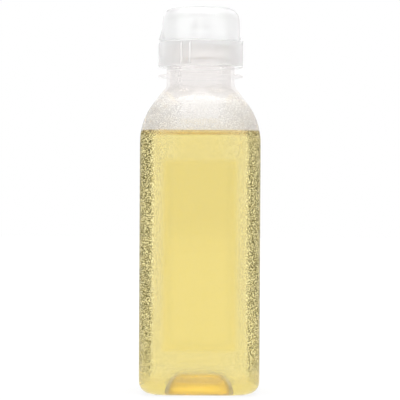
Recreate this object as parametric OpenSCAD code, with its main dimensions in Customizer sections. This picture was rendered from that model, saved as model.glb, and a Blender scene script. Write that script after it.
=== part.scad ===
// Oil dispenser bottle: a square blow-moulded bottle with a 38 mm screw neck,
// its oil, a foam seal ring, and a clear screw cap with a pouring spout and a flip lid.
// Millimetres, +Z up, the origin on the table under the middle of the bottle.
// The label panel faces -Y, the lid's hinge is at +X and its thumb tab at -X.

/* [Body] */
// Width and depth of the square body
body_w = 61; // [54:0.5:76]
// Radius of the four upright corners
corner_r = 10; // [6:0.5:15]
// Height of the upright walls, from the table to the start of the shoulder
body_h = 127.3; // [124:0.1:170]
// Radius of the bend from the wall into the shoulder
shoulder_r = 36; // [24:1:40]
// Lean of the shoulder from upright, in degrees
shoulder_angle = 35; // [28:1:42]
// Radius of the heel, where the wall turns under
heel_r = 7; // [4:0.5:10]
// Thickness of the blown wall
wall = 0.9; // [0.6:0.1:1.5]

/* [Base] */
// Thickness of the floor, which stays thicker than the wall
floor_t = 1.2; // [0.8:0.1:2]
// Width of the flat band that the bottle stands on
band_w = 3; // [2:0.5:6]
// Height of the pushed-up middle above the table
pushup_h = 10; // [6:0.5:12]
// Slope of the pushed-up middle's four sides, in degrees
pushup_angle = 45; // [38:1:55]
// Diameter of the moulding gate's nub under the base
gate_d = 5; // [3:0.5:8]
// Length of the gate's nub
gate_h = 0.8; // [0.4:0.1:1.2]

/* [Label panel] */
// Height of the panel's lower edge above the table
panel_low = 21.5; // [14:0.5:40]
// Height of the panel, with its bevels
panel_h = 98.4; // [60:0.1:100]
// Depth of the panel below the wall around it
panel_depth = 0.6; // [0.3:0.1:1]
// Height of the bevels at the panel's top and bottom
panel_bevel = 2.5; // [1:0.1:4]
// Width of the bevels at the panel's sides
panel_side_bevel = 1.5; // [0.8:0.1:3]

/* [Neck] */
// Outer diameter of the neck between its threads
neck_d = 35; // [30:0.5:38]
// Thickness of the neck's wall
neck_wall = 1.8; // [1.4:0.1:2.4]
// Height of the neck, from the shoulder to its sealing rim
neck_h = 20.6; // [19.5:0.1:28]
// Diameter of the ledge around the neck
ledge_d = 43.8; // [40:0.1:48]
// Thickness of the ledge at its edge
ledge_t = 1.2; // [0.8:0.1:2]
// Height of the ledge above the shoulder
ledge_z = 4.7; // [3:0.1:5.5]

/* [Thread] */
// Rise of the thread in one turn
thread_pitch = 4.23; // [4:0.01:4.5]
// Turns of the thread on the neck
thread_turns = 1.5; // [1.2:0.1:1.6]
// Turns of the thread inside the cap
cap_thread_turns = 1; // [0.6:0.1:1.1]
// Height that a thread stands out of its wall
thread_depth = 1.7; // [1.2:0.1:2]
// Width of a thread at its root
thread_root_w = 1.8; // [1.4:0.1:1.9]
// Width of a thread at its crest
thread_crest_w = 0.9; // [0.6:0.1:1.2]
// Gap between a thread's crest and the other piece's wall
thread_play = 0.4; // [0.25:0.05:0.6]
// Distance from the sealing rim to the top of the neck's thread
thread_top = 1.7; // [1.2:0.1:2]

/* [Cap] */
// Thickness of the cap's skirt
skirt_wall = 2.2; // [1.4:0.1:3]
// Height of the cap's skirt, with the deck
skirt_h = 12.4; // [12:0.1:14]
// Thickness of the deck that carries the spout
deck_t = 1.3; // [0.9:0.1:2]
// Width of the grip lines on the skirt
grip_line_w = 0.5; // [0.3:0.1:1]
// Height that the grip lines stand out of the skirt
grip_line_proud = 0.2; // [0.1:0.05:0.4]
// Height of the collar that the lid closes around
collar_h = 1.6; // [1:0.1:2.4]
// Thickness of the collar
collar_t = 0.8; // [0.6:0.1:1.2]

/* [Spout] */
// Bore of the spout
spout_bore = 6; // [5.6:0.1:8]
// Thickness of the spout's wall
spout_wall = 1.1; // [0.8:0.1:1.6]
// Height of the spout above the deck
spout_h = 8.5; // [5:0.1:10]
// Extra radius of the spout's foot
spout_flare = 0.8; // [0.2:0.1:2]
// Depth of the flared mouth that the lid's plug closes
mouth_depth = 1.5; // [1:0.1:2]
// Lean of the mouth from upright, in degrees
mouth_angle = 30; // [27:1:40]
// Overhang of the drip lip
lip_over = 0.5; // [0.3:0.1:1]

/* [Seal ring] */
// Thickness of the foam ring between the neck's rim and the deck
seal_t = 0.8; // [0.5:0.1:1.5]
// Width of the foam ring
seal_w = 4.4; // [3:0.1:6]
// Gap between the foam ring and the deck that turns on it
seal_gap = 0.05; // [0.02:0.01:0.2]

/* [Lid] */
// Height of the closed lid
lid_h = 17.5; // [15:0.1:24]
// Thickness of the lid
lid_wall = 1.2; // [0.8:0.1:1.6]
// How far the lid's rim sits in from the skirt
lid_inset = 1.5; // [1:0.1:2]
// How far the lid's side leans in from its rim to its rounded edge
lid_draft = 0.4; // [0:0.1:1]
// Radius of the lid's rounded top edge
lid_edge_r = 6; // [3:0.5:8]
// Gap between the lid's rim and the deck
lid_gap = 0.3; // [0.15:0.05:0.5]
// Gap between the lid's plug and the spout's mouth
plug_gap = 0.15; // [0.1:0.05:0.3]
// Wall of the hollow plug
plug_wall = 1; // [0.8:0.1:1.2]
// Width of the thumb tab
tab_w = 19; // [12:0.5:22]
// How far the thumb tab stands out at its lower edge
tab_out = 1.4; // [0.6:0.1:2]
// Height of the thumb tab
tab_h = 7.2; // [4:0.1:9]
// Width of the hinge
hinge_w = 12; // [8:0.5:16]
// Height of the hinge's wedge on the lid
hinge_h = 2.2; // [1.4:0.1:3]

/* [Contents] */
// Height of the oil's surface above the table
fill_h = 131; // [90:0.5:145]
// Gap that keeps the oil's solid clear of the wall
oil_gap = 0.08; // [0.05:0.01:0.2]

/* [Hidden] */
$fn = 96;
// Extra length of a cut past the face that it opens
cut_past = 1;

// Body: half width, and where the shoulder's bend ends and meets the neck
half = body_w / 2;
neck_r = neck_d / 2;
neck_foot = 0.25;
foot_r = neck_r + neck_foot;
bend_out = shoulder_r * (1 - cos(shoulder_angle));
bend_rise = shoulder_r * sin(shoulder_angle);
neck_z = body_h + bend_rise + (half - bend_out - foot_r) / tan(shoulder_angle);
bore_r = neck_r - neck_wall;
bore_foot_r = bore_r - neck_foot;

// Neck and thread
rim_z = neck_z + neck_h;
rim_chamfer = 0.4;
thread_segment = 9;
thread_sink = 0.4;
// Segments over which a thread fades, and the share of its height that is left at its ends
thread_fade = 3;
thread_end = 0.1;
neck_thread_z = rim_z - thread_top - thread_root_w / 2 - thread_turns * thread_pitch;
// The cap's thread starts at this angle, half a pitch below the neck's
cap_thread_lead_in = 100;

// Cap: the deck stands on the seal ring, and the skirt clears the neck's thread
cap_bore_r = neck_r + thread_depth + thread_play;
cap_r = cap_bore_r + skirt_wall;
deck_low = rim_z + seal_t + seal_gap;
deck_z = deck_low + deck_t;
skirt_z = deck_z - skirt_h;
skirt_chamfer = 0.6;
deck_chamfer = 0.5;
grip_line_angles = [-117, -104.8];
grip_line_end = 1;

// Spout
spout_bore_r = spout_bore / 2;
mouth_r = spout_bore_r + mouth_depth * tan(mouth_angle);
lip_r = mouth_r + spout_wall;
spout_z = deck_z + spout_h;

// Lid: it turns about a line just outside the skirt, level with the middle of its gap
lid_r = cap_r - lid_inset;
lid_low = deck_z + lid_gap;
lid_top = deck_z + lid_h;
lid_bore_r = lid_r - lid_wall;
collar_gap = 0.35;
collar_r = lid_bore_r - collar_gap;
plug_inset = 0.2;
plug_r = lip_r - plug_inset;
plug_reach = 0.4;
tab_lift = 0.5;
tab_low = lid_low + tab_lift;

// Rings of the blown body. A ring has one point at each of these angles, so that the edges of the label
// panel and the ends of the corners always fall on a point.
edge_angle = atan((half - corner_r) / half);
bevel_angle = atan((half - corner_r - panel_side_bevel) / half);
angle_play = 0.01;
face_steps = 3;
corner_steps = 8;
quarter_angles = concat(
    [for (k = [0:face_steps]) bevel_angle * k / face_steps],
    [for (k = [0:corner_steps]) edge_angle + (90 - 2 * edge_angle) * k / corner_steps],
    [for (k = [face_steps:-1:1]) 90 - bevel_angle * k / face_steps]
);
ring_angles = [for (quarter = [0:3], a = quarter_angles) a + 90 * quarter];

// Distance from the axis to a rounded square of half width w and corner radius rc, at angle a
function square_reach(a, w, rc) =
    let (
        turned = abs((a + 45) % 90 - 45),
        straight = w / cos(turned),
        c = w - rc,
        s = cos(turned) + sin(turned)
    )
    w * tan(turned) <= c ? straight : c * s + sqrt(c * c * (s * s - 2) + rc * rc);

// How far the label panel is pressed in at height z
function panel_press(z) =
    panel_depth * max(0, min(1, (z - panel_low) / panel_bevel, (panel_low + panel_h - z) / panel_bevel));

// One ring: the panel is on the front and the back only
function ring(w, rc, z, press = 0) = [
    for (a = ring_angles)
        let (
            reach = square_reach(a, w, rc),
            on_panel = abs(a % 180 - 90) <= bevel_angle + angle_play
        )
        [reach * cos(a), reach * sin(a) - (on_panel ? press * sign(sin(a)) : 0), z]
];

// Half width of the body at height z above the heel
function side_w(z) =
    z <= body_h ? half
    : z <= body_h + bend_rise ? half - shoulder_r + sqrt(pow(shoulder_r, 2) - pow(z - body_h, 2))
    : foot_r + (neck_z - z) * tan(shoulder_angle);

// Corner radius at height z: the square turns into the neck's circle over the shoulder
function side_corner(z) = corner_r + (foot_r - corner_r) * (half - side_w(z)) / (half - foot_r);

// Wall thickness at height z: it grows from the wall to the neck over the shoulder
function side_wall(z) = wall + (foot_r - bore_foot_r - wall) * (half - side_w(z)) / (half - foot_r);

// Heights of the body's rings, from the heel to the neck
bend_steps = 8;
side_heights = concat(
    [heel_r, panel_low, panel_low + panel_bevel],
    [panel_low + panel_h - panel_bevel, panel_low + panel_h, body_h],
    [for (k = [1:bend_steps]) body_h + shoulder_r * sin(shoulder_angle * k / bend_steps)],
    [neck_z]
);

// Rings of the base and the side, moved in from the outside by floor and side thicknesses. The base is pushed
// up in the middle as a rounded square, stands on a flat band, and turns up at the heel.
pushup_foot = half - heel_r - band_w;
pushup_run = pushup_h / tan(pushup_angle);
// Shares of the push-up's run and of its height, from its flat top to its foot, with both edges rounded
pushup_profile = [[1, 1], [0.88, 0.94], [0.12, 0.06], [0, 0]];
// Share of the push-up's half width that rounds its corners
pushup_corner = 0.45;
heel_steps = 5;
function base_rings(t_side, t_floor) = concat(
    [for (p = pushup_profile)
        let (w = pushup_foot + t_floor * tan(pushup_angle / 2) - pushup_run * p[0])
        ring(w, w * pushup_corner, t_floor + pushup_h * p[1])],
    [for (k = [0:heel_steps - 1])
        let (a = 90 * k / heel_steps)
        ring(
            half - heel_r + (heel_r - t_side) * sin(a),
            corner_r - t_side,
            heel_r - (heel_r - t_floor) * cos(a)
        )]
);
function side_rings(heights, inner, extra = 0) = [
    for (z = heights)
        let (t = extra + (inner ? side_wall(z) : 0))
        ring(side_w(z) - t, side_corner(z) - t, z, panel_press(z))
];

// A closed solid through a list of rings, each with the same number of points, closed by a fan at each end.
// Each four-sided patch is split from its upper left to its lower right corner, so that two solids through
// the same rings have the same faces, whichever way they run.
function sum(values, i = 0) = i < len(values) ? values[i] + sum(values, i + 1) : 0;
function middle(points) = [for (axis = [0:2]) sum([for (p = points) p[axis]]) / len(points)];
function patch(here, here_next, there, there_next, rising) =
    rising
        ? [[here, there, here_next], [here_next, there, there_next]]
        : [[here, there, there_next], [here, there_next, here_next]];
module ring_solid(rings) {
    n = len(rings[0]);
    last = len(rings) - 1;
    first_middle = n * len(rings);
    last_middle = first_middle + 1;
    polyhedron(
        points = concat([for (one = rings, p = one) p], [middle(rings[0]), middle(rings[last])]),
        faces = [
            for (j = [0:n - 1])
                let (k = (j + 1) % n)
                each concat(
                    [[first_middle, j, k], [last_middle, last * n + k, last * n + j]],
                    [for (i = [0:last - 1])
                        let (rising = rings[i + 1][j][2] >= rings[i][j][2])
                        each patch(i * n + j, i * n + k, (i + 1) * n + j, (i + 1) * n + k, rising)]
                )
        ],
        convexity = 6
    );
}

// A helical ridge from one wall radius to its crest, faded out at both ends
module thread_ridge(wall_r, crest_r, low_z, turns, start = 0) {
    steps = ceil(360 * turns / thread_segment);
    sunk_r = wall_r + sign(wall_r - crest_r) * thread_sink;
    ring_solid([
        for (i = [0:steps])
            let (
                k = crest_r > wall_r ? steps - i : i,
                a = start + 360 * turns * k / steps,
                z = low_z + thread_pitch * turns * k / steps,
                fade = min(1, thread_end + k / thread_fade, thread_end + (steps - k) / thread_fade),
                top_r = sunk_r + (crest_r - sunk_r) * fade
            )
            [
                for (p = [
                    [sunk_r, z - thread_root_w / 2],
                    [top_r, z - thread_crest_w / 2],
                    [top_r, z + thread_crest_w / 2],
                    [sunk_r, z + thread_root_w / 2]
                ])
                    [p[0] * cos(a), p[0] * sin(a), p[1]]
            ]
    ]);
}

function reversed(list) = [for (k = [len(list) - 1:-1:0]) list[k]];

// Points of an arc in a profile
function arc(cx, cz, r, from, to, steps = 8) = [
    for (k = [0:steps]) let (a = from + (to - from) * k / steps) [cx + r * cos(a), cz + r * sin(a)]
];

// The blown body with its hollow, up to the flat seat of the neck
module blown_body() {
    ring_solid(concat(
        base_rings(0, 0),
        side_rings(side_heights, false),
        [ring(bore_foot_r, bore_foot_r, neck_z)],
        reversed(concat(
            base_rings(wall, floor_t),
            side_rings([for (z = side_heights) if (z < neck_z) z], true)
        ))
    ));
}

// The moulded neck: a tube with a ledge, and a rim that seals
module neck() {
    ledge_r = ledge_d / 2;
    ledge_low = neck_z + ledge_z;
    ledge_slope = 0.3;
    rotate_extrude()
        polygon([
            [bore_r, neck_z],
            [neck_r, neck_z],
            [neck_r, ledge_low - ledge_slope],
            [ledge_r, ledge_low],
            [ledge_r, ledge_low + ledge_t],
            [neck_r, ledge_low + ledge_t + ledge_slope],
            [neck_r, rim_z - rim_chamfer],
            [neck_r - rim_chamfer, rim_z],
            [bore_r, rim_z]
        ]);
    thread_ridge(neck_r, neck_r + thread_depth, neck_thread_z, thread_turns);
}

module bottle() {
    color([0.9, 0.88, 0.72, 0.5]) {
        blown_body();
        neck();
        translate([0, 0, pushup_h - gate_h])
            cylinder(d = gate_d, h = gate_h + floor_t / 2);
    }
}

module oil() {
    color([0.93, 0.8, 0.35, 0.8])
        ring_solid(concat(
            base_rings(wall + oil_gap, floor_t + oil_gap),
            side_rings([for (z = side_heights) if (z < fill_h) z], true, oil_gap),
            side_rings([fill_h], true, oil_gap)
        ));
}

module seal_ring() {
    seal_r = cap_bore_r - thread_play;
    color([0.95, 0.95, 0.93])
        translate([0, 0, rim_z])
            difference() {
                cylinder(r = seal_r, h = seal_t);
                translate([0, 0, -cut_past])
                    cylinder(r = seal_r - seal_w, h = seal_t + 2 * cut_past);
            }
}

// The spout, deck, collar and skirt in one turned profile
module cap_shell() {
    foot_r = lip_r - lip_over + spout_flare;
    lip_h = 2 * lip_over;
    rotate_extrude()
        polygon([
            [spout_bore_r, deck_low],
            [cap_bore_r, deck_low],
            [cap_bore_r, skirt_z],
            [cap_r - skirt_chamfer, skirt_z],
            [cap_r, skirt_z + skirt_chamfer],
            [cap_r, deck_z - deck_chamfer],
            [cap_r - deck_chamfer, deck_z],
            [collar_r, deck_z],
            [collar_r, deck_z + collar_h],
            [collar_r - collar_t, deck_z + collar_h],
            [collar_r - collar_t, deck_z],
            [foot_r, deck_z],
            [lip_r - lip_over, spout_z - lip_h],
            [lip_r, spout_z - lip_h / 2],
            [lip_r, spout_z],
            [mouth_r, spout_z],
            [spout_bore_r, spout_z - mouth_depth]
        ]);
}

module cap_base() {
    cap_thread_z = neck_thread_z + thread_pitch * cap_thread_lead_in / 360 - thread_pitch / 2;
    color([0.96, 0.96, 0.96, 0.5]) {
        cap_shell();
        thread_ridge(cap_bore_r, neck_r + thread_play, cap_thread_z, cap_thread_turns, cap_thread_lead_in);
        for (a = grip_line_angles)
            rotate(a)
                translate([cap_r - skirt_wall / 2, -grip_line_w / 2, skirt_z + grip_line_end])
                    cube([skirt_wall / 2 + grip_line_proud, grip_line_w, skirt_h - 2 * grip_line_end]);
        // The flat land that the hinge's film grows from
        difference() {
            translate([cap_bore_r / 2, -hinge_w / 2, deck_z - deck_t])
                cube([cap_r - cap_bore_r / 2, hinge_w, deck_t]);
            cylinder(r = cap_r - skirt_wall / 2, h = deck_z + cut_past);
        }
    }
}

// The lid's outline in section, moved in from the outside by t, and down by extra at its open end
function lid_outline(t, extra = 0) = concat(
    [[0, lid_low - extra], [lid_r - t, lid_low - extra]],
    arc(lid_r - lid_draft - lid_edge_r, lid_top - lid_edge_r, lid_edge_r - t, 0, 90),
    [[0, lid_top - t]]
);

// The lid's plug: a hollow cone in the spout's mouth, under a tube from the lid's roof
module plug() {
    cone_tan = tan(mouth_angle);
    side_gap = plug_gap / cos(mouth_angle);
    shelf_z = spout_z + lid_gap;
    tip_z = spout_z - mouth_depth + plug_reach;
    function cone_r(z) = spout_bore_r + (z - spout_z + mouth_depth) * cone_tan - side_gap;
    rotate_extrude()
        polygon([
            [cone_r(tip_z) - plug_wall, tip_z],
            [cone_r(tip_z), tip_z],
            [cone_r(shelf_z), shelf_z],
            [plug_r, shelf_z],
            [plug_r, lid_top - lid_wall / 2],
            [cone_r(tip_z) - plug_wall, lid_top - lid_wall / 2]
        ]);
}

module flip_lid() {
    // The thumb tab is a leaning cylinder, set so that it runs out of the lid's side at its two ends
    tab_end_x = sqrt(pow(lid_r, 2) - pow(tab_w / 2, 2));
    tab_x = (pow(lid_r + tab_out, 2) - pow(lid_r, 2)) / (2 * (lid_r + tab_out - tab_end_x));
    tab_r = lid_r + tab_out - tab_x;
    color([0.97, 0.97, 0.97, 0.5]) {
        difference() {
            union() {
                rotate_extrude()
                    polygon(lid_outline(0));
                translate([-tab_x, 0, tab_low])
                    cylinder(r1 = tab_r, r2 = tab_r - tab_out - lid_draft, h = tab_h);
                // The wedge that the hinge's film grows from
                translate([0, hinge_w / 2, 0])
                    rotate([90, 0, 0])
                        linear_extrude(hinge_w)
                            polygon([
                                [lid_bore_r - lid_wall, lid_low],
                                [cap_r, lid_low],
                                [lid_bore_r - lid_wall, lid_low + hinge_h * (cap_r - lid_bore_r + lid_wall) / lid_inset]
                            ]);
            }
            rotate_extrude()
                polygon(lid_outline(lid_wall, cut_past));
        }
        plug();
    }
}

bottle();
oil();
seal_ring();
cap_base();
flip_lid();
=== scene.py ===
# %% [markdown]
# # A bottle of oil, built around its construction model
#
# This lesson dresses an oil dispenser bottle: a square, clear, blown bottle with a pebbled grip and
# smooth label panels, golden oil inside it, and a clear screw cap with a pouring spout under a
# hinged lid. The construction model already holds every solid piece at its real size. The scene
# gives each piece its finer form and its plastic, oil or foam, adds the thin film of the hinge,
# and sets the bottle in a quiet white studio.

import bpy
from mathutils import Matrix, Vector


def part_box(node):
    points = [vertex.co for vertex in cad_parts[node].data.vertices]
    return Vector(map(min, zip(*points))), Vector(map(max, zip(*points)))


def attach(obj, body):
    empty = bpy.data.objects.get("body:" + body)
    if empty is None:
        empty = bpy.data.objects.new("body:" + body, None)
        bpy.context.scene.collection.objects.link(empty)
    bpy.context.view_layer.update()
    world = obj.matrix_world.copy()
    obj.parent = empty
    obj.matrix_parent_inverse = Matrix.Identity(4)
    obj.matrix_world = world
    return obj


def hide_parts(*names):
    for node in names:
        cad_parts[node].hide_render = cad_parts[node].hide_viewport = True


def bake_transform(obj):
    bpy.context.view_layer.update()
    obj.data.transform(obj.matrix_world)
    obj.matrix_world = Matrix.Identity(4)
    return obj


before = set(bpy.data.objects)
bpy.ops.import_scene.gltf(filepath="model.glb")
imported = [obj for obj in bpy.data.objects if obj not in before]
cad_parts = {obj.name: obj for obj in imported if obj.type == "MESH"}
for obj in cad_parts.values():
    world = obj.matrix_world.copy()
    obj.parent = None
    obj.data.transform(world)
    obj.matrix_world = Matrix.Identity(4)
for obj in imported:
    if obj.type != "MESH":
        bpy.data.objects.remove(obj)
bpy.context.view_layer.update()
print("The construction model holds", ", ".join(sorted(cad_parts)))

# %% Modules and the unit
import math

import bpy

MM = 0.001
print("Sizes are written in millimetres, and each of them is", MM, "of Blender's metres")

# %% [markdown]
# ## Node trees written as sums
#
# Both the pieces and their materials are node trees here, and a tree is mostly arithmetic. Wiring
# each Math node by hand hides the formula. So a small class stands for one value in a tree, and
# Python's own operators add the Math nodes to it. Every other kind of node comes from one method,
# which sets the node's settings first, because some settings change which sockets a node has.


# %% A value in a node tree
class Wire:
    """One output of a node, which can stand in a sum like a number."""

    def __init__(self, tree, node, socket):
        self.tree = tree
        self.node = node
        self.socket = socket

    def output(self, name):
        """Another output of the same node."""
        return Wire(self.tree, self.node, find_socket(self.node.outputs, name))

    def maths(self, operation, *others):
        return self.tree.maths(operation, self, *others)

    def __add__(self, other):
        return self.maths("ADD", other)

    def __sub__(self, other):
        return self.maths("SUBTRACT", other)

    def __rsub__(self, other):
        return self.tree.maths("SUBTRACT", other, self)

    def __mul__(self, other):
        return self.maths("MULTIPLY", other)

    def __truediv__(self, other):
        return self.maths("DIVIDE", other)

    def __rtruediv__(self, other):
        return self.tree.maths("DIVIDE", other, self)

    def __mod__(self, other):
        return self.maths("FLOORED_MODULO", other)

    __radd__ = __add__
    __rmul__ = __mul__

    def least(self, other):
        return self.maths("MINIMUM", other)

    def most(self, other):
        return self.maths("MAXIMUM", other)

    def below(self, other):
        return self.maths("LESS_THAN", other)

    def above(self, other):
        return self.maths("GREATER_THAN", other)

    def clamped(self):
        """Never below 0, and never above 1."""
        return self.least(1.0).most(0.0)

    def eased(self):
        """From 0 to 1 without a kink at either end."""
        share = self.clamped()
        return share * share * (3.0 - 2.0 * share)

    def rises(self, start, over):
        """0 up to the start, then eased up to 1 within the given distance."""
        return ((self - start) / over).eased()

    def falls(self, end, over):
        """0 from the end on, and eased down to it from 1 within the given distance."""
        return ((end - self) / over).eased()


# %% A node tree that can be added to
def find_socket(sockets, key):
    """A socket by its place, its name or its identifier."""
    if isinstance(key, int):
        return sockets[key]
    return next(s for s in sockets if s.enabled and key in (s.name, s.identifier))


class Tree:
    """One of Blender's node trees, with one method for any kind of node."""

    def __init__(self, node_tree):
        self.node_tree = node_tree

    def add(self, kind, settings=None, values=None, output=0):
        node = self.node_tree.nodes.new(kind)
        for name, setting in (settings or {}).items():
            setattr(node, name, setting)
        for key, value in (values or {}).items():
            socket = find_socket(node.inputs, key)
            if isinstance(value, Wire):
                self.node_tree.links.new(value.socket, socket)
            else:
                socket.default_value = value
        if len(node.outputs) == 0:
            return None
        return Wire(self, node, find_socket(node.outputs, output))

    def maths(self, operation, *values):
        return self.add("ShaderNodeMath", {"operation": operation}, dict(enumerate(values)))


# %% A first sum
trial = Tree(bpy.data.node_groups.new("trial", "ShaderNodeTree"))
trial.maths("ADD", 0.25, 0.5).eased()
print("A sum of two numbers, eased, takes", len(trial.node_tree.nodes), "Math nodes")
bpy.data.node_groups.remove(trial.node_tree)

# %% [markdown]
# ## The sizes on the drawing
#
# The construction model was drawn from these sizes, in millimetres. What can be measured on it is
# measured: half the width of the body, the heights of the rim, the oil, the spout and the lid, and
# the radius of the seal. The others are the radii, walls and angles that a bottle maker would find
# on the mould's drawing. Two of those below aren't the model's. The panel's bevel is wider at its
# sides, because the photo shows no line there, and the oil climbs at the wall, where the solid has
# a flat top.

# %% Sizes measured on the construction model
BODY_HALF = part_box("bottle")[1].x / MM
RIM_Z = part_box("bottle")[1].z / MM
OIL_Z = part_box("oil")[1].z / MM
SEAL_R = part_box("seal_ring")[1].x / MM
SKIRT_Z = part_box("cap_base")[0].z / MM
SPOUT_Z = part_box("cap_base")[1].z / MM
LID_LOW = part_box("flip_lid")[0].z / MM
LID_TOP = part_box("flip_lid")[1].z / MM
print(f"The body is {2 * BODY_HALF:.1f} mm square, and its rim is {RIM_Z:.2f} mm high")
print(f"The oil stands {OIL_Z:.1f} mm high, and the lid's top {LID_TOP:.2f} mm")

# %% Sizes of the blown bottle and its oil
CORNER_R = 10
BODY_H = 127.3
BODY_WALL = 0.9
SHOULDER_R = 36
SHOULDER_ANGLE = math.radians(35)
HEEL_R = 7
BASE_WALL = 1.2
BAND_WIDTH = 3
PUSHUP_H = 10
PUSHUP_SLOPE = math.radians(45)
GATE_R = 2.5
GATE_H = 0.8
GATE_EDGE = 0.3
PANEL_LOW = 21.5
PANEL_TOP = PANEL_LOW + 98.4
PANEL_DEPTH = 0.6
PANEL_BEVEL = 2.5
PANEL_SIDE_BEVEL = 8.0
CLIMB = 2.6
print(f"With its bevels, the label panel is {PANEL_TOP - PANEL_LOW:.1f} mm high")

# %% Sizes of the neck and its thread
NECK_R = 17.5
NECK_WALL = 1.8
NECK_H = 20.6
NECK_FOOT = 0.25
LEDGE_R = 21.9
LEDGE_T = 1.2
LEDGE_UP = 4.7
THREAD_PITCH = 4.23
THREAD_TURNS = 1.5
THREAD_DEPTH = 1.7
THREAD_ROOT = 1.8
THREAD_CREST = 0.9
THREAD_TOP = 1.7
NECK_Z = RIM_Z - NECK_H
BORE_R = NECK_R - NECK_WALL
THREAD_LOW = RIM_Z - THREAD_TOP - THREAD_ROOT / 2 - THREAD_TURNS * THREAD_PITCH
print(f"The thread starts {THREAD_LOW:.2f} mm high, on a neck {2 * NECK_R} mm wide")

# %% Sizes of the cap
SEAL_PLAY = 0.4
SKIRT_WALL = 2.2
DECK_T = 1.3
LID_GAP = 0.3
HINGE_WIDTH = 12
CAP_BORE_R = SEAL_R + SEAL_PLAY
CAP_R = CAP_BORE_R + SKIRT_WALL
DECK_Z = LID_LOW - LID_GAP
DECK_LOW = DECK_Z - DECK_T
print(f"The cap is {2 * CAP_R:.1f} mm wide, and its deck {DECK_Z:.2f} mm high")

# %% [markdown]
# ## One rule for every turned and blown wall
#
# The bottle, its oil, the cap and the lid all come out of round or square moulds: each is an
# outline swept once round an axis. Spin would make the round ones, but not a square bottle that
# turns into a round neck, and a screw thread, a thumb tab and a pebbled grip would all have to be
# cut in afterwards. So one Geometry Nodes tree does the sweep. A *station* is a point of the
# outline with its distance from the axis, its corner radius and its height, and marks that say
# what happens there. The tree makes a grid with one row for each station and one column for each
# angle, and moves each point to where the rule puts it.

# %% Stations of an outline
LENGTH_MARKS = ("reach", "corner", "height", "press", "tab", "wedge")
SHARE_MARKS = ("face_grip", "corner_grip", "thread", "rib")


def station(reach, height, corner=None, **marks):
    """One point of an outline, in millimetres. Without a corner radius, the section is round."""
    return {"reach": reach, "corner": reach if corner is None else corner, "height": height, **marks}


print("A round station on the neck:", station(NECK_R, NECK_Z))


# %% Points along a straight line
def between(start, end, spacing):
    """Points from start to end, not counting start, at most spacing apart."""
    count = max(1, math.ceil(math.dist(start, end) / spacing))
    return [tuple(a + (b - a) * k / count for a, b in zip(start, end)) for k in range(1, count + 1)]


def heading(start, end):
    """The direction from one point to another, and how far it is."""
    length = math.dist(start, end)
    return ((end[0] - start[0]) / length, (end[1] - start[1]) / length), length


print("Ten millimetres take", len(between((0, 0), (10, 0), 3)), "points at most 3 mm apart")

# %% [markdown]
# ### Edges that stay round
#
# Moulded plastic has no sharp edge, and light finds every edge that has one. A Bevel modifier would
# round edges too, but it can't tell the rim from the foot of the thread. So the outline's own
# corners are turned into arcs, each with its radius. The shading of a smooth mesh bends over the
# whole face beside an arc, which would make flat walls look swollen. A point a short way before and
# after each arc holds the walls flat.

# %% An outline with rounded corners
HOLD = 0.12
ARC_STEP = math.radians(22)
EDGE_SHARE = 0.42


def rounded(corners):
    """Points through corners (r, z, rounding, spacing before it), with an arc at each of them."""
    line = [corners[0][:2]]
    for before, (r, z, rounding, spacing), after in zip(corners, corners[1:], corners[2:]):
        into, into_length = heading(before[:2], (r, z))
        out, out_length = heading((r, z), after[:2])
        bend = math.atan2(into[0] * out[1] - into[1] * out[0], into[0] * out[0] + into[1] * out[1])
        slope = abs(math.tan(bend / 2))
        cut = min(rounding * slope, EDGE_SHARE * into_length, EDGE_SHARE * out_length)
        radius = math.copysign(cut / max(slope, 1e-6), bend)
        start = (r - into[0] * cut, z - into[1] * cut)
        centre = (start[0] - into[1] * radius, start[1] + into[0] * radius)
        line += between(line[-1], (start[0] - into[0] * HOLD, start[1] - into[1] * HOLD), spacing)
        first = math.atan2(start[1] - centre[1], start[0] - centre[0])
        steps = max(2, math.ceil(abs(bend) / ARC_STEP))
        for k in range(steps + 1):
            angle = first + bend * k / steps
            line.append((
                centre[0] + abs(radius) * math.cos(angle),
                centre[1] + abs(radius) * math.sin(angle),
            ))
        line.append((line[-1][0] + out[0] * HOLD, line[-1][1] + out[1] * HOLD))
    return line + between(line[-1], corners[-1][:2], corners[-1][3])


print("A 2 mm round corner takes", len(rounded([(0, 0, 0, 3), (10, 0, 2, 3), (10, 10, 0, 3)])), "points")

# %% [markdown]
# ### What the tree is told
#
# The tree's own inputs are the sizes that are the same all over a piece: its section, its pebbles,
# its thread and its ribs. Each has a name, so the same tree can be tried by hand in the modifier
# panel. The angles of the columns follow the section too. On the square bottle they are spaced
# evenly along the flat and round the corner, so that the pebbles of the grip are as fine on a
# corner as on a face, and a column runs along each edge of the panel.

# %% The tree's inputs
WALL_SIZES = {
    "Eighth Columns": 24,
    "Flat Columns": 0,
    "Section Half": BODY_HALF * MM,
    "Section Corner": CORNER_R * MM,
    "Panel Edge": (BODY_HALF - CORNER_R) * MM,
    "Panel Bevel": PANEL_SIDE_BEVEL * MM,
    "Pebble Size": 1.45 * MM,
    "Pebble Height": 0.1 * MM,
    "Thread Low": 0.0,
    "Thread Pitch": THREAD_PITCH * MM,
    "Thread Turns": THREAD_TURNS,
    "Thread Start": 0.0,
    "Thread Depth": THREAD_DEPTH * MM,
    "Thread Root": THREAD_ROOT * MM,
    "Thread Crest": THREAD_CREST * MM,
    "Tab Centre": 0.0,
    "Wedge Half Width": HINGE_WIDTH / 2 * MM,
    "Rib Angle": math.radians(243),
    "Rib Spacing": math.radians(12.2),
    "Rib Width": 0.5 * MM,
    "Rib Height": 0.2 * MM,
}


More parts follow.
